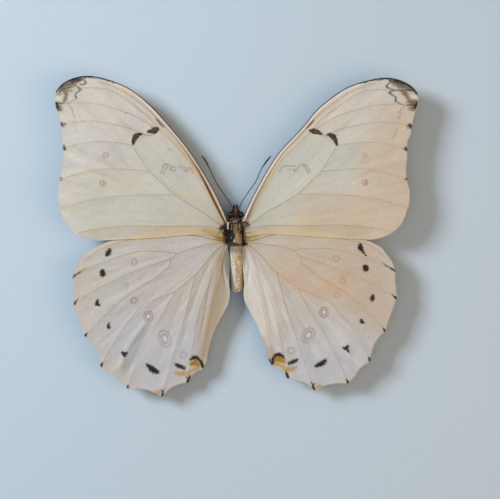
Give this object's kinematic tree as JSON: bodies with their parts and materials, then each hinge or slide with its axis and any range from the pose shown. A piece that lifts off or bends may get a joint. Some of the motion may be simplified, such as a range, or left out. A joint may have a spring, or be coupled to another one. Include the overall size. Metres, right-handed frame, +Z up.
{
  "type": "set butterfly specimen",
  "caption": "Dried pale butterfly with spread, veined wings and scalloped hindwings, upper side up, resting on its feet and abdomen tip.",
  "frame": {"origin": "middle of the underside of the whole insect's box, on the surface that it rests on", "axes": "+Y towards the head, +X towards the insect's right wing, +Z up from its upper side"},
  "size_m": [0.1158, 0.1024, 0.0103],
  "materials": {
    "wing": "pale pearly wing membrane covered in scales",
    "thorax_fur": "dark hair with cream and tan tufts",
    "abdomen_scales": "cream scales",
    "head_hair": "short brown-orange hair",
    "eye": "glossy black facets",
    "chitin": "dark satin chitin"
  },
  "bodies": {
    "root": {"forewing_left": "wing", "forewing_right": "wing", "hindwing_left": "wing", "hindwing_right": "wing", "thorax": "thorax_fur", "abdomen": "abdomen_scales", "head": "head_hair", "palp_left": "head_hair", "palp_right": "head_hair", "eye_left": "eye", "eye_right": "eye", "antenna_left": "chitin", "antenna_right": "chitin", "proboscis": "chitin", "foreleg_left": "chitin", "foreleg_right": "chitin", "midleg_left": "chitin", "midleg_right": "chitin", "hindleg_left": "chitin", "hindleg_right": "chitin"}
  },
  "joints": []
}
